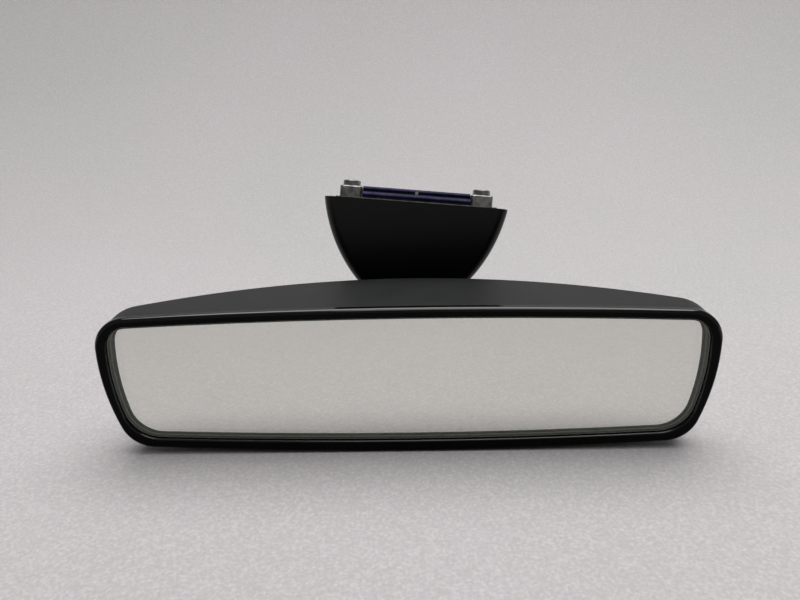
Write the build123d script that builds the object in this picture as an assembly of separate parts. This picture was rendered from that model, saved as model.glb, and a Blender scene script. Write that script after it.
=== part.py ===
import os
from math import cos, radians, sin, sqrt, tan

from build123d import *

# All sizes are in millimetres. Pieces are drawn in the head's frame: X to the driver's right,
# Y toward the windscreen, Z up, with the bezel's front face at y = 0. They are moved at the end,
# so that the row's origin is the middle of the land that seats on the windscreen plate.

# Head outline, seen from the driver
TOP_MID, TOP_CORNER = 35.4, (124.2, 32.2)
SIDE_MID = (125.85, 12.0)
BOTTOM_MID, BOTTOM_CORNER = -30.0, (117.1, -26.0)
TOP_RADIUS, BOTTOM_RADIUS = 14.0, 14.0
HEAD_OUTLINE = (TOP_MID, TOP_CORNER, SIDE_MID, BOTTOM_MID, BOTTOM_CORNER, TOP_RADIUS, BOTTOM_RADIUS)

# Glass outline
GLASS_TOP_MID, GLASS_TOP_CORNER = 31.2, (119.8, 28.45)
GLASS_SIDE_MID = (121.2, 11.0)
GLASS_BOTTOM_MID, GLASS_BOTTOM_CORNER = -24.3, (115.1, -21.5)
GLASS_TOP_RADIUS, GLASS_BOTTOM_RADIUS = 9.0, 14.5
GLASS_OUTLINE = (
    GLASS_TOP_MID,
    GLASS_TOP_CORNER,
    GLASS_SIDE_MID,
    GLASS_BOTTOM_MID,
    GLASS_BOTTOM_CORNER,
    GLASS_TOP_RADIUS,
    GLASS_BOTTOM_RADIUS,
)
GLASS_FRONT = 1.0
GLASS_THIN, WEDGE_DEG = 4.2, 2.6
GLASS_BEVEL = 0.5
COATING, COATING_INSET, PAD, PAD_INSET = 0.15, 0.4, 0.7, 2.0
GLASS_GAP = 0.2

# Bezel and housing
BEZEL_SKIRT, BEZEL_DEPTH, BEZEL_EDGE = 3.0, 8.6, 1.5
BEZEL_LIP = 0.6
TAB_WIDTH, TAB_THICK, TAB_LENGTH = 12.0, 0.65, 4.5
TABS = [(-80, 1), (-30, 1), (30, 1), (80, 1), (-75, -1), (-32, -1), (32, -1), (75, -1)]
SHELL_INSET, WALL, DRAFT_DEG = 0.35, 2.4, 1.0
TAB_INSET = SHELL_INSET + WALL + 0.35
HOUSING_DEPTH, BOW_RADIUS = 41.7, 285.0
REAR_TOP_Y, REAR_BOTTOM_Y = 39.5, 34.7
REAR_EDGE = 1.6
CARRIER_FRONT, CARRIER_PLATE, CARRIER_RIM, CARRIER_GAP, CARRIER_SIDE_GAP = 8.65, 1.5, 2.0, 0.1, 0.3
RIB_HALF, RIB_PITCH, RIBS_EACH_SIDE, LONG_RIB_Z, NOTCH_GAP = 0.8, 24.0, 4, 2.0, 0.3

# Ball joint
BALL_Y, BALL_Z, BALL_R = 29.0, 10.0, 6.5
SEAT_GAP, SEAT_WALL, CUP_WALL = 0.05, 1.25, 1.5
NECK_R, NECK_RISE_DEG, MOUTH_DEG = 3.2, 12.0, 58.0
REAR_HOLE_R, REAR_HOLE_Z = 11.0, 12.2
BOSS_START, BOSS_R, SHANK_R = 19.0, 5.2, 3.0

# Toggle bracket, lever and pins
TILT_Y, TILT_Z, TILT_DEG = 20.0, 26.5, 4.0
TILT_PIN_R, LEVER_PIN_R = 1.5, 1.25
LEVER_Y, LEVER_Z, LEVER_DEG = 16.5, -24.0, 60.0
NOSE_R, TURN_GAP = 1.3, 0.04
NOSE_RISE, FORK_GAP, FORK_WALL = 0.8, 0.12, 1.48
TILT_PIN_HALF, LEVER_PIN_HALF, PIN_CHAMFER = 24.5, 12.9, 0.3
TILT_LUG_X, TILT_LUG_HALF, TILT_LUG_R = 22.0, 2.5, 4.5
LEVER_LUG_X, LEVER_LUG_HALF, LEVER_LUG_R = 11.4, 1.5, 3.5
LEVER_HALF, LEVER_REACH, CHEEK_IN, CHEEK_OUT, HUB_R, ARM_R = 9.0, 14.6, 5.1, 7.5, 3.1, 1.9
BRACKET_HALF, BRACKET_STEP, SHELF_HALF, FORK_HALF = 18.0, 11.0, 4.5, 4.0
SCREW_X, SCREW_R, SCREW_CAP_R = 14.0, 1.5, 2.9
SPRING_X, SPRING_HALF, SPRING_SHEET, BEAD_R, NOTCH_R = 6.4, 1.0, 0.4, 0.6, 0.85
CRANK = (TILT_Z - LEVER_Z - 3.0) * sin(radians(TILT_DEG)) / (2 * sin(radians(LEVER_DEG / 2)))

# Foot: its own frame has z = 0 at the seat, x along the rim and y toward the windscreen
SEAT_Y, SEAT_Z = 66.0, 62.1
LEAN_DEG, ROLL_DEG = 18.0, 5.5
RIM_DROP, COVER_H, COVER_WALL = 0.8, 48.0, 2.0
RIM_HALF, COVER_SIDE_R, RIM_SIDE_DEG = 41.5, 66.5, 7.0
RIM_FRONT, RIM_BACK, FOOT_FRONT, FOOT_BACK = -14.0, 14.0, -1.5, 12.5
COVER_EDGE, COVER_CORNER, PAD_HALF = 5.0, 8.0, 36.5
LAND_FRONT, LAND_BACK, RECESS_FRONT, RECESS_BACK, SEAT_STEP = -9.0, 9.0, -6.4, 6.7, 0.4
SEAT_LAND_Y = (LAND_FRONT + RECESS_FRONT) / 2
LUG_X, LUG_BLOCK, LUG_BLOCK_H, LUG_CAP_R, LUG_CAP_H = 30.1, 10.2, 5.6, 4.0, 2.6
PEG_R, PEG_H = 2.5, 3.0
WEBS = [
    (-8.0, 8.0, 1.5, 10.5, -43.0),
    (-30.0, -27.5, 1.5, 10.5, -16.0),
    (27.5, 30.0, 1.5, 10.5, -16.0),
    (-28.0, 28.0, 5.0, 7.5, -16.0),
]
CLIP_HALF, CLIP_SHEET = 24.8, 0.7
CLIP_FRONT_Z, CLIP_REAR_Z, CLIP_RIVET_R, CLIP_RIVET_Z = 2.95, 4.6, 0.5, 4.3
BASE_RIVET_X, BASE_RIVET_Y, BASE_RIVET_R, BASE_RIVET_HEAD_R = 14.0, 5.0, 0.9, 1.5
COVER_SCREW_Z, COVER_SCREW_R, COVER_SCREW_HEAD_R = -22.0, 1.4, 2.8

# Reach of cutting solids that pass the whole head or cover, and overlap of solids to be joined
WIDE, DEEP, TALL, LAP = 130.0, 60.0, 50.0, 0.5
COVER_REACH_X, COVER_REACH_Y = 50.0, 30.0

os.makedirs("parts", exist_ok=True)


def facing_back(y):
    """Drawing plane at depth y whose normal points to the windscreen."""
    return Plane(origin=(0, y, 0), x_dir=(-1, 0, 0), z_dir=(0, 1, 0))


def side_plane(x):
    """Drawing plane at x with local axes Y and Z."""
    return Plane(origin=(x, 0, 0), x_dir=(0, 1, 0), z_dir=(1, 0, 0))


def circle_through(p, q, r):
    """Centre and radius of the circle through three points."""
    ax, ay, bx, by = q[0] - p[0], q[1] - p[1], r[0] - p[0], r[1] - p[1]
    d = 2 * (ax * by - ay * bx)
    cx = (by * (ax**2 + ay**2) - ay * (bx**2 + by**2)) / d
    cy = (ax * (bx**2 + by**2) - bx * (ax**2 + ay**2)) / d
    return p[0] + cx, p[1] + cy, sqrt(cx**2 + cy**2)


def right_crossing(c1, c2):
    """Crossing of two circles that lies furthest to the right."""
    dx, dy = c2[0] - c1[0], c2[1] - c1[1]
    d = sqrt(dx**2 + dy**2)
    along = (c1[2] ** 2 - c2[2] ** 2 + d**2) / (2 * d)
    across = sqrt(c1[2] ** 2 - along**2)
    return max(
        (c1[0] + (along * dx - s * dy) / d, c1[1] + (along * dy + s * dx) / d)
        for s in (across, -across)
    )


def rounded_outline(sizes, inset=0.0):
    """Symmetric outline of four shallow arcs with rounded corners, drawn in by the inset."""
    top_mid, top, side, bottom_mid, bottom, top_r, bottom_r = sizes
    circles = [
        circle_through((-top[0], top[1]), (0, top_mid), top),
        circle_through(top, side, bottom),
        circle_through(bottom, (0, bottom_mid), (-bottom[0], bottom[1])),
    ]
    above, beside, below = [(x, y, r - inset) for x, y, r in circles]
    upper, lower = right_crossing(above, beside), right_crossing(below, beside)
    out = beside[0] + beside[2]
    edges = [
        ThreePointArc((-upper[0], upper[1]), (0, top_mid - inset), upper),
        ThreePointArc(upper, (out, beside[1]), lower),
        ThreePointArc(lower, (0, bottom_mid + inset), (-lower[0], lower[1])),
        ThreePointArc((-lower[0], lower[1]), (-out, beside[1]), (-upper[0], upper[1])),
    ]
    face = make_face(edges)
    face = fillet(face.vertices().sort_by(Axis.Y)[-2:], top_r - inset)
    return fillet(face.vertices().sort_by(Axis.Y)[:2], bottom_r - inset)


def head_face(inset=0.0):
    """Outline of the bezel, drawn in by the inset."""
    return rounded_outline(HEAD_OUTLINE, inset)


def glass_face(inset=0.0):
    """Outline of the glass, drawn in by the inset."""
    return rounded_outline(GLASS_OUTLINE, inset)


def layer(d0, d1, inset):
    """Sheet of the glass outline between two depths behind the sloping back of the glass."""
    slope = tan(radians(WEDGE_DEG))
    low, high = GLASS_BOTTOM_MID - TALL, GLASS_TOP_MID + TALL
    back = GLASS_FRONT + GLASS_THIN

    def depth(d, z):
        return back + d + (z - GLASS_BOTTOM_MID) * slope

    corners = [
        (depth(d0, low), low),
        (depth(d1, low), low),
        (depth(d1, high), high),
        (depth(d0, high), high),
    ]
    wedge = extrude(side_plane(-WIDE) * make_face(Polyline(*corners, close=True)), 2 * WIDE)
    return wedge & extrude(facing_back(0) * glass_face(inset), DEEP)


def block(x0, x1, y0, y1, z0, z1):
    """Box between two corners."""
    return Pos((x0 + x1) / 2, (y0 + y1) / 2, (z0 + z1) / 2) * Box(x1 - x0, y1 - y0, z1 - z0)


def rod_x(x0, x1, y, z, r):
    """Cylinder along X."""
    return Pos((x0 + x1) / 2, y, z) * Rot(0, 90, 0) * Cylinder(r, x1 - x0)


def rod_y(x, y0, y1, z, r):
    """Cylinder along Y."""
    return Pos(x, (y0 + y1) / 2, z) * Rot(90, 0, 0) * Cylinder(r, y1 - y0)


def head_shape(inset, y0):
    """Body of the housing: the head outline drawn back with draft, cut by the bowed rear wall."""
    sides = extrude(facing_back(y0) * head_face(SHELL_INSET + inset), DEEP, taper=DRAFT_DEG)
    axis_y = HOUSING_DEPTH - BOW_RADIUS
    rear = [
        ThreePointArc(
            (REAR_TOP_Y - inset, TOP_MID + 1),
            (HOUSING_DEPTH - inset, BALL_Z),
            (REAR_BOTTOM_Y - inset, BOTTOM_MID - 2),
        ),
        Polyline(
            (REAR_BOTTOM_Y - inset, BOTTOM_MID - 2),
            (-DEEP, BOTTOM_MID - 2),
            (-DEEP, TOP_MID + 1),
            (REAR_TOP_Y - inset, TOP_MID + 1),
        ),
    ]
    barrel = revolve(side_plane(0) * make_face(rear), Axis((0, axis_y, 0), (0, 0, 1)))
    return sides & Pos(0, axis_y, 0) * Rot(0, 0, 180) * Pos(0, -axis_y, 0) * barrel


# ---- Glass, coating and pad ----
mirror_glass = layer(-DEEP, 0, 0) - block(-WIDE, WIDE, -DEEP, GLASS_FRONT, -TALL, TALL)
mirror_glass = chamfer(mirror_glass.faces().sort_by(Axis.Y)[0].edges(), GLASS_BEVEL)
mirror_coating = layer(0, COATING, COATING_INSET)
adhesive_pad = layer(COATING, COATING + PAD, PAD_INSET)

# ---- Bezel: rounded face with a fine lip beside the glass, inner rim and snap tabs behind ----
rim = extrude(facing_back(0) * head_face(), BEZEL_SKIRT)
rim = fillet(rim.faces().sort_by(Axis.Y)[0].edges(), BEZEL_EDGE)
rim += extrude(facing_back(BEZEL_SKIRT) * head_face(TAB_INSET), BEZEL_DEPTH - BEZEL_SKIRT)
bezel = rim - extrude(facing_back(-1) * glass_face(-GLASS_GAP), DEEP)
bezel_face = bezel.faces().sort_by(Axis.Y)[0]
bezel = fillet(bezel_face.inner_wires()[0].edges(), BEZEL_LIP)
tab_ring = head_face(TAB_INSET) - head_face(TAB_INSET + TAB_THICK)
tab_band = extrude(facing_back(BEZEL_DEPTH - LAP) * tab_ring, TAB_LENGTH + LAP)
for x, side in TABS:
    z0, z1 = sorted((0, side * TALL))
    bezel += tab_band & block(x - TAB_WIDTH / 2, x + TAB_WIDTH / 2, 0, DEEP, z0, z1)

# ---- Glass carrier: flat plate, rim and ribs that follow the slope of the glass ----
carrier_front = layer(COATING + PAD, DEEP, CARRIER_GAP)
carrier_front -= block(-WIDE, WIDE, CARRIER_FRONT + LAP, 2 * DEEP, -TALL, TALL)
ribs = carrier_front - extrude(facing_back(0) * glass_face(CARRIER_GAP + CARRIER_RIM), DEEP)
for step in range(-RIBS_EACH_SIDE, RIBS_EACH_SIDE + 1):
    x = step * RIB_PITCH
    ribs += carrier_front & block(x - RIB_HALF, x + RIB_HALF, 0, DEEP, -TALL, TALL)
ribs += carrier_front & block(-WIDE, WIDE, 0, DEEP, LONG_RIB_Z - RIB_HALF, LONG_RIB_Z + RIB_HALF)
plate_face = facing_back(CARRIER_FRONT) * head_face(SHELL_INSET + WALL + CARRIER_SIDE_GAP)
glass_carrier = extrude(plate_face, CARRIER_PLATE) + ribs
for x, side in TABS:
    z0, z1 = sorted((0, side * TALL))
    tab = (tab_band & block(x - TAB_WIDTH / 2, x + TAB_WIDTH / 2, 0, DEEP, z0, z1)).bounding_box()
    z0, z1 = sorted((tab.min.Z - NOTCH_GAP if side > 0 else tab.max.Z + NOTCH_GAP, side * TALL))
    notch_half = TAB_WIDTH / 2 + NOTCH_GAP
    glass_carrier -= block(x - notch_half, x + notch_half, BEZEL_DEPTH - LAP, DEEP, z0, z1)

# ---- Housing ----
outer = head_shape(0, BEZEL_SKIRT)
outer = fillet(outer.faces().sort_by(Axis.Y)[-1].edges(), REAR_EDGE)
housing = outer - head_shape(WALL, BEZEL_SKIRT - 0.01)
lining = head_shape(WALL / 2, BEZEL_SKIRT + 1)
for side in (-1, 1):
    for lug_x, half, (y, z), reach, end in (
        (TILT_LUG_X, TILT_LUG_HALF, (TILT_Y, TILT_Z), TILT_LUG_R, TALL),
        (LEVER_LUG_X, LEVER_LUG_HALF, (LEVER_Y, LEVER_Z), LEVER_LUG_R, -TALL),
    ):
        x = lug_x * side
        z0, z1 = (z - reach, end) if end > 0 else (end, z + 3)
        housing += lining & block(x - half, x + half, y - reach, y + reach, z0, z1)
post_y0, post_y1 = LEVER_Y - 6.1, LEVER_Y - 3.9
housing += lining & block(SPRING_X - 2.0, SPRING_X + 2.2, post_y0, post_y1, -TALL, LEVER_Z - 2.6)
housing -= rod_x(-TILT_PIN_HALF - 1.5, TILT_PIN_HALF + 1.5, TILT_Y, TILT_Z, TILT_PIN_R)
housing -= rod_x(-LEVER_PIN_HALF - 1.1, LEVER_PIN_HALF + 1.1, LEVER_Y, LEVER_Z, LEVER_PIN_R)
slot_y0, slot_y1 = LEVER_Y - 3.6, LEVER_Y + LEVER_REACH + 0.8
housing -= block(-LEVER_HALF - 0.7, LEVER_HALF + 0.7, slot_y0, slot_y1, -TALL, LEVER_Z - 2.5)
housing -= rod_y(0, 30, DEEP, REAR_HOLE_Z, REAR_HOLE_R)

# ---- Ball joint ----
def ball_zone(r_in, r_out, from_deg, to_deg):
    """Part of a hollow ball between two angles from the +Y axis."""

    def at(r, deg):
        return (BALL_Y + r * cos(radians(deg)), r * sin(radians(deg)))

    mid = (from_deg + to_deg) / 2
    edges = [
        ThreePointArc(at(r_out, from_deg), at(r_out, mid), at(r_out, to_deg)),
        Line(at(r_out, to_deg), at(r_in, to_deg)),
        ThreePointArc(at(r_in, to_deg), at(r_in, mid), at(r_in, from_deg)),
        Line(at(r_in, from_deg), at(r_out, from_deg)),
    ]
    ring = revolve(side_plane(0) * make_face(edges), Axis((0, 0, 0), (0, 1, 0)))
    return Pos(0, 0, BALL_Z) * ring


seat_in = BALL_R + SEAT_GAP
seat_out = seat_in + SEAT_WALL
cup_in = seat_out + SEAT_GAP
cup_out = cup_in + CUP_WALL
ball_seat_front = ball_zone(seat_in, seat_out, 96, 166)
ball_seat_rear = ball_zone(seat_in, seat_out, MOUTH_DEG, 84)
cup_hollow = Pos(0, BALL_Y, BALL_Z) * Sphere(cup_in)

# ---- Toggle bracket: plate with a pressed cup, ears for the pin and a fork for the lever ----
nose_y = LEVER_Y - CRANK * sin(radians(LEVER_DEG / 2))
nose_z = LEVER_Z + CRANK * cos(radians(LEVER_DEG / 2))
plate_y0, plate_y1 = BALL_Y - 2.6, BALL_Y - 0.6
shelf_z = nose_z + NOSE_R + NOSE_RISE
fork_low = nose_z - 0.7
ears = block(-BRACKET_HALF, BRACKET_HALF, TILT_Y - 3.2, plate_y1, TILT_Z - 3.2, TILT_Z + 3.2)
ears = fillet(ears.edges().filter_by(Axis.X).sort_by(Axis.Y)[:2], 3.0)
toggle_bracket = ears - block(2.2 - BRACKET_HALF, BRACKET_HALF - 2.2, 0, plate_y0, -TALL, TALL)
toggle_bracket += block(-BRACKET_HALF, BRACKET_HALF, plate_y0, plate_y1, -6, TILT_Z)
toggle_bracket += block(-BRACKET_STEP, BRACKET_STEP, plate_y0, plate_y1, shelf_z, 0)
fork_y0, fork_y1 = nose_y - NOSE_R - FORK_GAP, nose_y + NOSE_R + FORK_GAP
toggle_bracket += block(-SHELF_HALF, SHELF_HALF, fork_y0 - FORK_WALL, plate_y1, shelf_z, shelf_z + 2)
for y in (fork_y0 - FORK_WALL, fork_y1):
    toggle_bracket += block(-FORK_HALF, FORK_HALF, y, y + FORK_WALL, fork_low, shelf_z + LAP)
toggle_bracket += ball_zone(cup_in, cup_out, 97, 168)
toggle_bracket -= cup_hollow
toggle_bracket -= rod_x(-WIDE, WIDE, TILT_Y, TILT_Z, TILT_PIN_R + TURN_GAP)

# ---- Clamp plate, screws and spring washers ----
clamp_y0, clamp_y1 = BALL_Y + 0.5, BALL_Y + 2.0
clamp_plate = block(-BRACKET_HALF, BRACKET_HALF, clamp_y0, clamp_y1, BALL_Z - 8.5, BALL_Z + 8.5)
clamp_plate = fillet(clamp_plate.edges().filter_by(Axis.Y), 4.0)
clamp_plate += ball_zone(cup_in, cup_out, MOUTH_DEG, 83)
clamp_plate -= cup_hollow
screws, washers = [], []
cap_y0 = clamp_y1 + 1.0
for x in (-SCREW_X, SCREW_X):
    clamp_plate -= rod_y(x, 20, 40, BALL_Z, SCREW_R + 0.3)
    toggle_bracket -= rod_y(x, 20, 40, BALL_Z, SCREW_R)
    screw = rod_y(x, plate_y0 - 2.5, cap_y0, BALL_Z, SCREW_R)
    cap = rod_y(x, cap_y0, cap_y0 + 2.0, BALL_Z, SCREW_CAP_R)
    cap = fillet(cap.edges().sort_by(Axis.Y)[-1], 0.8)
    slot_a = block(x - 1.7, x + 1.7, cap_y0 + 1.0, DEEP, BALL_Z - 0.35, BALL_Z + 0.35)
    slot_b = block(x - 0.35, x + 0.35, cap_y0 + 1.0, DEEP, BALL_Z - 1.7, BALL_Z + 1.7)
    screws.append(screw + cap - slot_a - slot_b)
    cone = Pos(x, clamp_y1 + 0.5, BALL_Z) * Rot(-90, 0, 0) * Cone(3.4, 2.6, 1.0)
    washers.append(cone - rod_y(x, 20, DEEP, BALL_Z, SCREW_R + 0.1))

# ---- Pins ----
tilt_pin = rod_x(-TILT_PIN_HALF, TILT_PIN_HALF, TILT_Y, TILT_Z, TILT_PIN_R)
tilt_pin = chamfer(tilt_pin.edges().filter_by(GeomType.CIRCLE), PIN_CHAMFER)
lever_pin = rod_x(-LEVER_PIN_HALF, LEVER_PIN_HALF, LEVER_Y, LEVER_Z, LEVER_PIN_R)
lever_pin = chamfer(lever_pin.edges().filter_by(GeomType.CIRCLE), PIN_CHAMFER)

# ---- Lever: two cheeks on the pin, a nose bar between them and a finger tab ----
tab_z = BOTTOM_MID + 0.8
lever_side = [
    (LEVER_Y - 0.5, LEVER_Z - 3.1),
    (LEVER_Y + 2.4, LEVER_Z - 3.0),
    (LEVER_Y + 5.0, tab_z),
    (LEVER_Y + LEVER_REACH, tab_z),
    (LEVER_Y + LEVER_REACH, tab_z + 2.2),
    (LEVER_Y + 6.6, tab_z + 2.4),
    (LEVER_Y + 2.9, LEVER_Z + 0.6),
    (LEVER_Y - 0.5, LEVER_Z),
]
lever_face = side_plane(-LEVER_HALF) * make_face(Polyline(*lever_side, close=True))
day_night_lever = extrude(lever_face, 2 * LEVER_HALF)
day_night_lever = fillet(day_night_lever.edges().filter_by(Axis.Z).sort_by(Axis.Y)[-2:], 3.0)
day_night_lever -= block(0.2 - CHEEK_IN, CHEEK_IN - 0.2, 0, LEVER_Y + 5.2, -TALL, 0)
for x0, x1 in ((-CHEEK_OUT, -CHEEK_IN), (CHEEK_IN, CHEEK_OUT)):
    hub = rod_x(x0, x1, LEVER_Y, LEVER_Z, HUB_R)
    arm = rod_x(x0, x1, nose_y, nose_z, ARM_R)
    day_night_lever += hub + arm
day_night_lever += rod_x(-CHEEK_IN - 0.1, CHEEK_IN + 0.1, nose_y, nose_z, NOSE_R)
day_night_lever -= rod_x(-WIDE, WIDE, LEVER_Y, LEVER_Z, LEVER_PIN_R + TURN_GAP)
for deg in (180, 180 + LEVER_DEG):
    y = LEVER_Y + 3.45 * cos(radians(deg))
    z = LEVER_Z + 3.45 * sin(radians(deg))
    day_night_lever -= rod_x(CHEEK_IN - 0.1, CHEEK_OUT + 0.1, y, z, NOTCH_R)

# ---- Detent spring: leaf in the housing post with a bead that drops into the lever's notches ----
leaf_x0, leaf_x1 = SPRING_X - SPRING_HALF, SPRING_X + SPRING_HALF
leaf_y0, leaf_y1, leaf_z = LEVER_Y - 4.5, LEVER_Y - 4.5 + SPRING_SHEET, LEVER_Z - 4.6
detent_spring = block(leaf_x0, leaf_x1, leaf_y0, leaf_y1, leaf_z, LEVER_Z + 3)
detent_spring += rod_x(leaf_x0, leaf_x1, leaf_y0 + 0.75, LEVER_Z, BEAD_R)
housing -= block(leaf_x0 - 0.05, leaf_x1 + 0.05, leaf_y0 - 0.02, leaf_y1 + 0.02, leaf_z - 0.02, 0)

# ---- Foot, drawn in its own frame and then leaned and rolled about the ball ----
ball = Vector(0, BALL_Y, BALL_Z)
seat = Vector(0, SEAT_Y, SEAT_Z)
foot_at = Pos(*ball) * Rot(0, ROLL_DEG, 0) * Pos(*(seat - ball)) * Rot(-LEAN_DEG, 0, 0)
to_foot = foot_at.inverse()
neck_dir = radians(NECK_RISE_DEG + LEAN_DEG)
ball_y = (BALL_Y - SEAT_Y) * cos(radians(LEAN_DEG)) - (BALL_Z - SEAT_Z) * sin(radians(LEAN_DEG))
ball_z = (BALL_Y - SEAT_Y) * sin(radians(LEAN_DEG)) + (BALL_Z - SEAT_Z) * cos(radians(LEAN_DEG))
neck_axis = (0, cos(neck_dir), sin(neck_dir))
neck_plane = Plane(origin=(0, ball_y, ball_z), x_dir=(1, 0, 0), z_dir=neck_axis)


def foot_shape(inset):
    """Cover body: curved taper seen from the front, cut by its side view."""
    side_r = COVER_SIDE_R - inset
    rim_a = radians(RIM_SIDE_DEG)
    cx = RIM_HALF - COVER_SIDE_R * cos(rim_a)
    cz = COVER_SIDE_R * sin(rim_a) - RIM_DROP

    def side_x(z):
        return cx + sqrt(side_r**2 - (z - cz) ** 2)

    top, low = -RIM_DROP, -RIM_DROP - COVER_H + inset
    mid = (top + low) / 2
    front_view = make_face(
        [
            Line((-side_x(top), top), (side_x(top), top)),
            ThreePointArc((side_x(top), top), (side_x(mid), mid), (side_x(low), low)),
            Line((side_x(low), low), (-side_x(low), low)),
            ThreePointArc((-side_x(low), low), (-side_x(mid), mid), (-side_x(top), top)),
        ]
    )
    front_view = fillet(front_view.vertices().sort_by(Axis.Y)[:2], COVER_CORNER - inset)
    side_view = make_face(
        [
            ThreePointArc(
                (RIM_FRONT + inset, top),
                ((RIM_FRONT + FOOT_FRONT) / 2 + 1.6 + inset, mid),
                (FOOT_FRONT + inset, low),
            ),
            Line((FOOT_FRONT + inset, low), (FOOT_BACK - inset, low)),
            Line((FOOT_BACK - inset, low), (RIM_BACK - inset, top)),
            Line((RIM_BACK - inset, top), (RIM_FRONT + inset, top)),
        ]
    )
    front_prism = extrude(facing_back(-COVER_REACH_Y) * front_view, 2 * COVER_REACH_Y)
    body = front_prism & extrude(side_plane(-COVER_REACH_X) * side_view, 2 * COVER_REACH_X)
    rims = body.faces().sort_by(Axis.Z)[-1].edges()
    faces = body.faces().sort_by(Axis.Y)
    around = [e for f in (faces[0], faces[-1]) for e in f.edges() if e not in rims]
    return fillet(around, COVER_EDGE - inset / 2)


def on_neck(s0, s1, r0, r1):
    """Cylinder or cone along the neck, between two distances from the ball's centre."""
    return neck_plane.offset((s0 + s1) / 2) * (
        Cylinder(r0, s1 - s0) if r0 == r1 else Cone(r0, r1, s1 - s0)
    )


# ---- Foot cover and casting ----
neck_hole = on_neck(BOSS_START - 6, BOSS_START + 12, BOSS_R + 0.5, BOSS_R + 0.5)
foot_cover = foot_shape(0) - foot_shape(COVER_WALL) - neck_hole
inside = foot_shape(COVER_WALL + 0.25)
deck_z = -RIM_DROP - 3.6
foot_casting = inside & block(-WIDE, WIDE, -DEEP, DEEP, deck_z, -RIM_DROP - 0.4)
foot_casting += block(-PAD_HALF, PAD_HALF, LAND_FRONT, LAND_BACK, -RIM_DROP - 1, 0)
foot_casting -= block(-WIDE, WIDE, RECESS_FRONT, RECESS_BACK, -SEAT_STEP, TALL)
for x0, x1, y0, y1, low in WEBS:
    foot_casting += inside & block(x0, x1, y0, y1, low, deck_z + 0.6)
foot_casting += on_neck(BOSS_START, BOSS_START + 11, BOSS_R, BOSS_R)
foot_casting -= on_neck(BOSS_START - 1, BOSS_START + 9, SHANK_R, SHANK_R)

# ---- Ball stud ----
ball_stud = Pos(0, ball_y, ball_z) * Sphere(BALL_R)
ball_stud += on_neck(3, BOSS_START - 9, NECK_R, NECK_R)
ball_stud += on_neck(BOSS_START - 9, BOSS_START, NECK_R, NECK_R + 1)
ball_stud += on_neck(BOSS_START, BOSS_START + 9, SHANK_R, SHANK_R)

# ---- Locating lugs ----
lugs = []
for side in (-1, 1):
    x = LUG_X * side
    lug = block(x - LUG_BLOCK / 2, x + LUG_BLOCK / 2, -4.5, 4.5, -SEAT_STEP, LUG_BLOCK_H)
    lug = fillet(lug.edges().filter_by(Axis.Z), 1.5)
    lug = fillet(lug.faces().sort_by(Axis.Z)[-1].edges(), 0.7)
    cap = Pos(x, 0, LUG_BLOCK_H + LUG_CAP_H / 2) * Cylinder(LUG_CAP_R, LUG_CAP_H)
    lug += fillet(cap.edges().sort_by(Axis.Z)[-1], 0.6)
    foot_casting -= Pos(x, 0, -PEG_H / 2) * Cylinder(PEG_R, PEG_H + 0.01)
    lugs.append(lug + Pos(x, 0, -PEG_H / 2) * Cylinder(PEG_R, PEG_H))

# ---- Spring clip: one bent strip with a front roll and a taller roll behind it ----
strip_z = CLIP_SHEET / 2 - SEAT_STEP
strip = [
    Line((6.5, strip_z), (-4.5, strip_z)),
    ThreePointArc((-4.5, strip_z), (-6.0, 1.45), (-4.5, CLIP_FRONT_Z)),
    Line((-4.5, CLIP_FRONT_Z), (-3.1, CLIP_FRONT_Z)),
    ThreePointArc((-3.1, CLIP_FRONT_Z), (-2.605, 3.155), (-2.4, 3.65)),
    Line((-2.4, 3.65), (-2.4, CLIP_REAR_Z)),
    ThreePointArc((-2.4, CLIP_REAR_Z), (-1.4, CLIP_REAR_Z + 1.0), (-0.4, CLIP_REAR_Z)),
    Line((-0.4, CLIP_REAR_Z), (3.4, 1.9)),
]
clip_section = trace(Wire(strip), CLIP_SHEET)
spring_clip = extrude(side_plane(-CLIP_HALF) * clip_section, 2 * CLIP_HALF)
spring_clip -= rod_y(0, -4, -1.5, CLIP_RIVET_Z, CLIP_RIVET_R)
clip_rivet = rod_y(0, -2.9, -1.9, CLIP_RIVET_Z, CLIP_RIVET_R)
clip_rivet += rod_y(0, -3.0, -2.75, CLIP_RIVET_Z, CLIP_RIVET_R + 0.25)
base_rivets = []
for x in (-BASE_RIVET_X, BASE_RIVET_X):
    hole_at = Pos(x, BASE_RIVET_Y, CLIP_SHEET - SEAT_STEP - 1.1)
    hole = hole_at * Cylinder(BASE_RIVET_R, 3.01)
    spring_clip -= hole
    foot_casting -= hole
    flat_head = hole_at * Pos(0, 0, 1.4) * Cylinder(BASE_RIVET_HEAD_R, 0.6)
    base_rivets.append(hole_at * Cylinder(BASE_RIVET_R, 3.0) + flat_head)

# ---- Cover screw at the back ----
cover_screw = rod_y(0, 4.5, 13.0, COVER_SCREW_Z, COVER_SCREW_R)
cover_screw += rod_y(0, 12.2, 13.8, COVER_SCREW_Z, COVER_SCREW_HEAD_R)
cover_screw -= block(-2.0, 2.0, 13.2, 20, COVER_SCREW_Z - 0.3, COVER_SCREW_Z + 0.3)
cover_screw -= block(-0.3, 0.3, 13.2, 20, COVER_SCREW_Z - 2.0, COVER_SCREW_Z + 2.0)
foot_cover -= rod_y(0, 8, 20, COVER_SCREW_Z, COVER_SCREW_R + 0.2)
foot_cover -= rod_y(0, 12.2, 20, COVER_SCREW_Z, COVER_SCREW_HEAD_R + 0.2)
foot_casting -= rod_y(0, 4.0, 20, COVER_SCREW_Z, COVER_SCREW_R)

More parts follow.
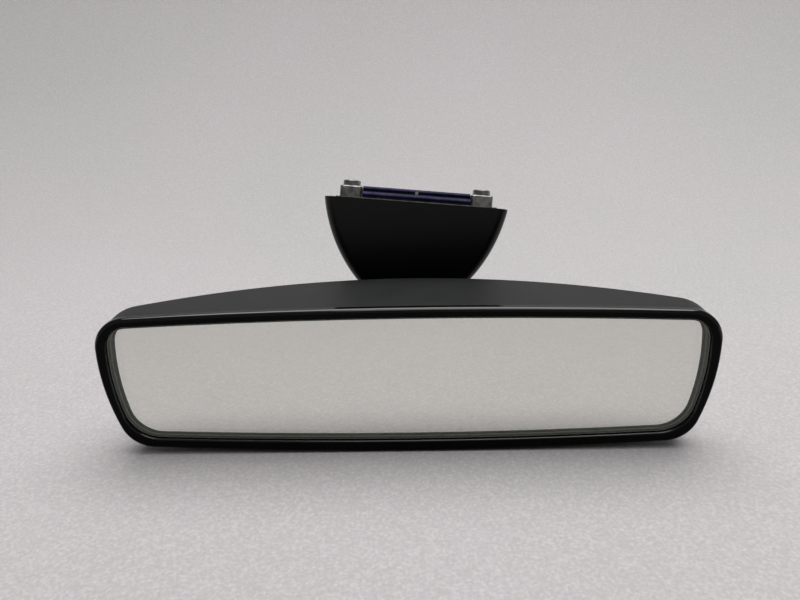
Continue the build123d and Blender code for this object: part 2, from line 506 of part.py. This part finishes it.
# ---- Place everything in the row's frame and export ----
foot_pieces = {
    "foot_cover": foot_cover,
    "foot_casting": foot_casting,
    "locating_lug_left": lugs[0],
    "locating_lug_right": lugs[1],
    "spring_clip": spring_clip,
    "clip_rivet": clip_rivet,
    "clip_base_rivet_left": base_rivets[0],
    "clip_base_rivet_right": base_rivets[1],
    "ball_stud": ball_stud,
    "cover_screw": cover_screw,
}
head_pieces = {
    "ball_seat_front": ball_seat_front,
    "ball_seat_rear": ball_seat_rear,
    "toggle_bracket": toggle_bracket,
    "clamp_plate": clamp_plate,
    "clamp_screw_left": screws[0],
    "clamp_screw_right": screws[1],
    "clamp_spring_left": washers[0],
    "clamp_spring_right": washers[1],
    "housing": housing,
    "bezel": bezel,
    "glass_carrier": glass_carrier,
    "mirror_glass": mirror_glass,
    "mirror_coating": mirror_coating,
    "adhesive_pad": adhesive_pad,
    "tilt_pin": tilt_pin,
    "lever_pin": lever_pin,
    "detent_spring": detent_spring,
    "day_night_lever": day_night_lever,
}
to_row = Pos(*-(foot_at * Pos(0, SEAT_LAND_Y, 0)).position)
for name, piece in {**{n: foot_at * p for n, p in foot_pieces.items()}, **head_pieces}.items():
    export_step(to_row * piece, f"parts/{name}.step")
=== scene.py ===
import math

import bmesh
import bpy
from mathutils import Matrix, Vector


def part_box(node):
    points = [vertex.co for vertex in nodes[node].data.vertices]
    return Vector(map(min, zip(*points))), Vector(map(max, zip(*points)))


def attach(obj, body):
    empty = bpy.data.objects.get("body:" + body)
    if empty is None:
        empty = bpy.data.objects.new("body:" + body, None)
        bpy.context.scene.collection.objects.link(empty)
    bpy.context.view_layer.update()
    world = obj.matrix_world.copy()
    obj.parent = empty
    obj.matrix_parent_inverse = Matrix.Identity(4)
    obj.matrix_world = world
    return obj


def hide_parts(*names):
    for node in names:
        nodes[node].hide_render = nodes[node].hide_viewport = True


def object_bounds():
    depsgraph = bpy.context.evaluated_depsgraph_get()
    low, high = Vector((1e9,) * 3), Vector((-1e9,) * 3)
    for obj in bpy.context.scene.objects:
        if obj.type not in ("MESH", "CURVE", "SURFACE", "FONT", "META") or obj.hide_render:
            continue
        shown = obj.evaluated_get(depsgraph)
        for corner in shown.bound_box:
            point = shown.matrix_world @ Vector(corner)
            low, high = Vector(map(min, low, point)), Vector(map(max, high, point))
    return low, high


MM = 0.001

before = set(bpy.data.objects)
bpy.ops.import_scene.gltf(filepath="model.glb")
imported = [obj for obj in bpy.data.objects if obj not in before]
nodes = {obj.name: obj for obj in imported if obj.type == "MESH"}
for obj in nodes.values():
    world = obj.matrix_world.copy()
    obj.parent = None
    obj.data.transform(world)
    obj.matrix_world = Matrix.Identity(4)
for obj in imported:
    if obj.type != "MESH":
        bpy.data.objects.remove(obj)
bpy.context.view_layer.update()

# The camera stands in front of the glass and above it, and looks down with a slight roll.
LENS_MM, SENSOR_MM = 31.5, 36.0
CAMERA_FROM_GLASS = Vector((2.4, -255.1, 133.2)) * MM
LOOK_DOWN, LOOK_LEFT, ROLL = (math.radians(d) for d in (21.0, 1.03, -1.28))

FLOOR_BEHIND, FLOOR_AHEAD, FLOOR_HALF = 0.12, 3.0, 3.5
SWEEP_RADIUS, SWEEP_STEPS, WALL_HEIGHT = 0.45, 16, 0.9

# Name, place, width, depth and power of each light
LIGHTS = (
    ("overhead", (0.1, 0.3, 1.5), 2.0, 1.4, 31),
    ("front", (0.15, -0.85, 1.45), 0.8, 0.7, 3.0),
)
SURROUND_COLOUR, SURROUND_STRENGTH = (1.0, 0.99, 0.98, 1), 0.12

# The silvering sits just inside the back of the glass, so that rays meet it before they leave.
SILVER_LIFT = 0.06 * MM

# Faces of the glass within about 25 degrees of the front or back count as flat, and those
# within about 6 degrees of square to them count as sides. The rest are the seams between.
FLAT, SIDE = 0.9, 0.1
SEAM, SAME_POINT = 0.5 * MM, 0.001 * MM

# Painted highlight and painted shade on the bezel. Its gloss is raised on faces turned up and
# back, toward the lamps, so that the edges show highlights. It is lowered on the front face so
# that the face stays dark. This is not polish.
# The gloss rises from the shaded level to the highlight level between two cosines of the angle
# from that direction.
UPWARD = (0.0, 0.6, 0.8)
SHADE_COSINE, HIGHLIGHT_COSINE = -0.58, -0.25
SHADE_GLOSS, HIGHLIGHT_GLOSS = 0.06, 0.7


def grey(tone):
    """Red, green and blue of a plain grey."""
    return (tone, tone, tone)


def make_camera():
    """Camera at the reference viewing angle, placed from the front face of the glass."""
    low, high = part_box("mirror_glass")
    face = Vector(((low.x + high.x) / 2, low.y, (low.z + high.z) / 2))
    forward = Vector(
        (
            -math.sin(LOOK_LEFT) * math.cos(LOOK_DOWN),
            math.cos(LOOK_LEFT) * math.cos(LOOK_DOWN),
            -math.sin(LOOK_DOWN),
        )
    )
    level = Vector((math.cos(LOOK_LEFT), math.sin(LOOK_LEFT), 0))
    upright = level.cross(forward)
    right = math.cos(ROLL) * level + math.sin(ROLL) * upright
    up = -math.sin(ROLL) * level + math.cos(ROLL) * upright
    data = bpy.data.cameras.new("camera")
    data.lens, data.sensor_width = LENS_MM, SENSOR_MM
    data.clip_start, data.clip_end = 0.01, 50
    camera = bpy.data.objects.new("camera", data)
    turn = Matrix((right, up, -forward)).transposed()
    camera.matrix_world = Matrix.Translation(face + CAMERA_FROM_GLASS) @ turn.to_4x4()
    bpy.context.collection.objects.link(camera)
    bpy.context.scene.camera = camera


# ---- Material helpers ----
def new_material(name):
    """Material with an empty principled shader; returns material, tree and shader."""
    material = bpy.data.materials.new(name)
    material.use_nodes = True
    tree = material.node_tree
    shader = next(n for n in tree.nodes if n.type == "BSDF_PRINCIPLED")
    return material, tree, shader


def add(tree, kind, **values):
    """Node of a kind with its inputs or properties set by name."""
    node = tree.nodes.new(kind)
    for key, value in values.items():
        if key in node.inputs:
            node.inputs[key].default_value = value
        else:
            setattr(node, key, value)
    return node


def object_coords(tree):
    return add(tree, "ShaderNodeTexCoord").outputs["Object"]


def noise(tree, vector, scale, detail=4.0, roughness=0.55):
    node = add(tree, "ShaderNodeTexNoise", Scale=scale, Detail=detail, Roughness=roughness)
    tree.links.new(vector, node.inputs["Vector"])
    return node.outputs["Fac"]


def ramp(tree, source, stops):
    """Colour ramp through (position, colour) stops."""
    node = add(tree, "ShaderNodeValToRGB")
    while len(node.color_ramp.elements) < len(stops):
        node.color_ramp.elements.new(0.5)
    for element, (position, colour) in zip(node.color_ramp.elements, stops):
        element.position = position
        element.color = (*colour, 1)
    tree.links.new(source, node.inputs["Fac"])
    return node.outputs["Color"]


def spread(tree, source, low, high, source_low=0.0, source_high=1.0):
    """Maps the source's range to low..high."""
    node = add(tree, "ShaderNodeMapRange")
    node.inputs["From Min"].default_value = source_low
    node.inputs["From Max"].default_value = source_high
    node.inputs["To Min"].default_value = low
    node.inputs["To Max"].default_value = high
    tree.links.new(source, node.inputs["Value"])
    return node.outputs["Result"]


def bump(tree, shader, height, distance, strength=1.0):
    node = add(tree, "ShaderNodeBump", Strength=strength, Distance=distance)
    tree.links.new(height, node.inputs["Height"])
    tree.links.new(node.outputs["Normal"], shader.inputs["Normal"])


def two_tones(tree, shader, source, dark, light, rough_low, rough_high):
    """Colour between dark and light, and roughness between low and high, along a source."""
    tree.links.new(ramp(tree, source, [(0.3, dark), (0.7, light)]), shader.inputs["Base Color"])
    tree.links.new(spread(tree, source, rough_low, rough_high), shader.inputs["Roughness"])


def plastic(name, dark, light, rough, grain_scale, grain_depth, shine=0.5):
    """Moulded plastic with a fine grain, cloudy tone and uneven gloss."""
    material, tree, shader = new_material(name)
    where = object_coords(tree)
    shader.inputs["Specular IOR Level"].default_value = shine
    cloud = noise(tree, where, 60)
    two_tones(tree, shader, cloud, dark, light, rough - 0.04, rough + 0.05)
    grain = noise(tree, where, grain_scale, 3.0, 0.6)
    bump(tree, shader, grain, grain_depth)
    return material


def metal(name, dark, light, rough, scale=300, depth=0.02 * MM):
    """Metal with cloudy tone and a slightly uneven surface."""
    material, tree, shader = new_material(name)
    where = object_coords(tree)
    cloud = noise(tree, where, scale)
    two_tones(tree, shader, cloud, dark, light, rough - 0.08, rough + 0.1)
    bump(tree, shader, noise(tree, where, scale * 4), depth)
    shader.inputs["Metallic"].default_value = 1.0
    return material


def gloss_black():
    """Gloss plastic with painted highlight and painted shade: more gloss on faces turned up
    toward the lamps, less on the front face.
    """
    material, tree, shader = new_material("gloss_black")
    where = object_coords(tree)
    cloud = noise(tree, where, 90)
    dark, light = (0.0009, 0.0011, 0.0010), (0.0016, 0.0018, 0.0017)
    two_tones(tree, shader, cloud, dark, light, 0.08, 0.14)
    # Painted highlight and painted shade: the gloss is set by how far each face turns toward
    # the lamps above and behind.
    upward = add(tree, "ShaderNodeVectorMath", operation="DOT_PRODUCT")
    upward.inputs[1].default_value = UPWARD
    tree.links.new(add(tree, "ShaderNodeTexCoord").outputs["Normal"], upward.inputs[0])
    painted_gloss = spread(tree, upward.outputs["Value"], SHADE_GLOSS, HIGHLIGHT_GLOSS, SHADE_COSINE, HIGHLIGHT_COSINE)
    tree.links.new(painted_gloss, shader.inputs["Specular IOR Level"])
    bump(tree, shader, noise(tree, where, 700, 2.0), 0.006 * MM)
    return material


def clear_glass():
    """Clear, faintly green glass with slight smears."""
    material, tree, shader = new_material("clear_glass")
    where = object_coords(tree)
    shader.inputs["Base Color"].default_value = (0.965, 0.97, 0.945, 1)
    shader.inputs["Transmission Weight"].default_value = 1.0
    shader.inputs["IOR"].default_value = 1.52
    smears = noise(tree, where, 25, 5.0, 0.6)
    tree.links.new(spread(tree, smears, 0.0, 0.012), shader.inputs["Roughness"])
    return material


def ground_edge(name, dark, light):
    """Seamed and ground edge of the glass: matt and slightly green."""
    material, tree, shader = new_material(name)
    where = object_coords(tree)
    speckle = noise(tree, where, 1500, 3.0)
    two_tones(tree, shader, speckle, dark, light, 0.5, 0.7)
    return material


def silver():
    """Silvering, very slightly cloudy."""
    material, tree, shader = new_material("silver")
    where = object_coords(tree)
    cloud = noise(tree, where, 18, 3.0)
    colour = ramp(tree, cloud, [(0.3, (0.86, 0.855, 0.83)), (0.7, (0.885, 0.88, 0.855))])
    tree.links.new(colour, shader.inputs["Base Color"])
    shader.inputs["Metallic"].default_value = 1.0
    shader.inputs["Roughness"].default_value = 0.01
    return material


def give(node, material):
    """Puts one material in every slot of a CAD node."""
    slots = nodes[node].material_slots
    for slot in slots:
        slot.link = "OBJECT"
        slot.material = material


def copy_of(node, name):
    """New object with a copy of a CAD node's mesh and no materials."""
    piece = nodes[node].copy()
    piece.data = nodes[node].data.copy()
    piece.name = piece.data.name = name
    piece.data.materials.clear()
    for key in list(piece.keys()):
        if key.startswith("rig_"):
            del piece[key]
    piece.parent = None
    bpy.context.collection.objects.link(piece)
    return piece


def make_glass():
    """Glass slab with ground edges, and the silvering just inside its back."""
    slab = copy_of("mirror_glass", "glass_slab")
    slab.data.materials.append(clear_glass())
    for name, dark, light in (
        ("glass_side", (0.07, 0.09, 0.065), (0.13, 0.16, 0.12)),
        ("glass_seam", (0.3, 0.35, 0.27), (0.44, 0.49, 0.39)),
    ):
        slab.data.materials.append(ground_edge(name, dark, light))
    mesh = bmesh.new()
    mesh.from_mesh(slab.data)
    bmesh.ops.remove_doubles(mesh, verts=mesh.verts, dist=SAME_POINT)
    back_edges = [
        e
        for e in mesh.edges
        if len(e.link_faces) == 2
        and max(f.normal.y for f in e.link_faces) > FLAT
        and abs(min(f.normal.y for f in e.link_faces)) < SIDE
    ]
    bmesh.ops.bevel(mesh, geom=back_edges, offset=SEAM, segments=1, affect="EDGES")
    mesh.normal_update()
    for face in mesh.faces:
        slope = abs(face.normal.y)
        face.material_index = 0 if slope > FLAT else 1 if slope < SIDE else 2
        face.smooth = False
    mesh.to_mesh(slab.data)
    mesh.free()
    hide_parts("mirror_glass")
    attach(slab, "head")
    coat = copy_of("mirror_coating", "silvering")
    coat.data.transform(Matrix.Translation((0, -SILVER_LIFT, 0)))
    coat.data.materials.append(silver())
    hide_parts("mirror_coating")
    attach(coat, "head")


def make_floor():
    """Pale sheet that runs back and curves up behind the object."""
    low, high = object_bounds()
    z0 = low.z
    profile = [(low.y - FLOOR_AHEAD, z0), (high.y + FLOOR_BEHIND, z0)]
    for step in range(1, SWEEP_STEPS + 1):
        angle = math.radians(90 * step / SWEEP_STEPS)
        y = high.y + FLOOR_BEHIND + SWEEP_RADIUS * math.sin(angle)
        profile.append((y, z0 + SWEEP_RADIUS * (1 - math.cos(angle))))
    profile.append((profile[-1][0], z0 + WALL_HEIGHT))
    mesh = bmesh.new()
    ends = (-FLOOR_HALF, FLOOR_HALF)
    rows = [[mesh.verts.new((x, y, z)) for x in ends] for y, z in profile]
    for a, b in zip(rows, rows[1:]):
        mesh.faces.new((a[0], a[1], b[1], b[0]))
    data = bpy.data.meshes.new("floor")
    mesh.to_mesh(data)
    mesh.free()
    for face in data.polygons:
        face.use_smooth = True
    floor = bpy.data.objects.new("floor", data)
    bpy.context.collection.objects.link(floor)
    material, tree, shader = new_material("pale_sheet")
    where = object_coords(tree)
    tone = noise(tree, where, 3.0, 2.0)
    wide = ramp(tree, tone, [(0.3, (0.54, 0.525, 0.525)), (0.7, (0.58, 0.553, 0.562))])
    fleck = noise(tree, where, 760, 1.0, 0.6)
    fine = ramp(tree, fleck, [(0.28, grey(0.9)), (0.5, grey(0.985)), (0.75, grey(1.14))])
    mix = add(tree, "ShaderNodeMix", data_type="RGBA", blend_type="MULTIPLY")
    mix.inputs["Factor"].default_value = 1.0
    tree.links.new(wide, mix.inputs[6])
    tree.links.new(fine, mix.inputs[7])
    tree.links.new(mix.outputs[2], shader.inputs["Base Color"])
    tree.links.new(spread(tree, fleck, 0.6, 0.95), shader.inputs["Roughness"])
    bump(tree, shader, fleck, 0.08 * MM, 0.5)
    data.materials.append(material)


def make_light():
    """Large soft lights above and in front, and a dim surround."""
    world = bpy.data.worlds.new("world")
    world.use_nodes = True
    background = world.node_tree.nodes["Background"]
    background.inputs["Color"].default_value = SURROUND_COLOUR
    background.inputs["Strength"].default_value = SURROUND_STRENGTH
    bpy.context.scene.world = world
    for name, place, width, depth, power in LIGHTS:
        data = bpy.data.lights.new(name, "AREA")
        data.shape, data.size, data.size_y, data.energy = "RECTANGLE", width, depth, power
        light = bpy.data.objects.new(name, data)
        light.location = place
        light.rotation_mode = "QUATERNION"
        light.rotation_quaternion = (-Vector(place)).to_track_quat("-Z", "Y")
        bpy.context.collection.objects.link(light)


def dress_frame():
    """Materials for the CAD nodes that stay in view."""
    grained = ((0.0066, 0.0073, 0.0075), (0.0103, 0.0112, 0.0115))
    black = ((0.0006, 0.0009, 0.0007), (0.0013, 0.0016, 0.0014))
    lever_tones = ((0.015, 0.015, 0.016), (0.02, 0.02, 0.021))
    cream = ((0.66, 0.64, 0.56), (0.74, 0.72, 0.64))
    raw_zinc = ((0.18, 0.18, 0.17), (0.44, 0.43, 0.41))
    blue = ((0.007, 0.008, 0.02), (0.022, 0.02, 0.042))
    zinc_plate = ((0.5, 0.49, 0.44), (0.66, 0.65, 0.6))
    steel_tones = (grey(0.4), (0.58, 0.58, 0.57))
    for material, dressed in (
        (gloss_black(), ("bezel",)),
        (plastic("shell_grain", *grained, 0.5, 2600, 0.06 * MM, 0.34), ("housing",)),
        (plastic("foot_black", *black, 0.3, 1500, 0.02 * MM, 0.22), ("foot_cover",)),
        (plastic("lever_black", *lever_tones, 0.45, 1800, 0.02 * MM), ("day_night_lever",)),
        (
            plastic("carrier_black", grey(0.02), grey(0.03), 0.5, 1200, 0.02 * MM),
            ("glass_carrier",),
        ),
        (plastic("foam", grey(0.03), grey(0.05), 0.9, 2000, 0.1 * MM), ("adhesive_pad",)),
        (
            metal("zinc", *raw_zinc, 0.38, 420, 0.12 * MM),
            ("foot_casting", "locating_lug_left", "locating_lug_right"),
        ),
        (metal("blued_steel", *blue, 0.24, 160, 0.01 * MM), ("spring_clip",)),
        (metal("bright_steel", grey(0.75), grey(0.9), 0.2), ("clip_rivet",)),
        (
            metal("plain_steel", *steel_tones, 0.35),
            (
                "ball_stud",
                "tilt_pin",
                "lever_pin",
                "detent_spring",
                "clamp_spring_left",
                "clamp_spring_right",
                "clip_base_rivet_left",
                "clip_base_rivet_right",
            ),
        ),
        (
            metal("plated_steel", *zinc_plate, 0.4),
            ("toggle_bracket", "clamp_plate", "clamp_screw_left", "clamp_screw_right"),
        ),
        (metal("black_steel", grey(0.03), grey(0.06), 0.4), ("cover_screw",)),
        (
            plastic("acetal", *cream, 0.35, 900, 0.01 * MM),
            ("ball_seat_front", "ball_seat_rear"),
        ),
    ):
        for node in dressed:
            give(node, material)


bpy.context.scene.view_settings.view_transform = "Standard"
make_camera()
make_floor()
make_light()
dress_frame()
make_glass()
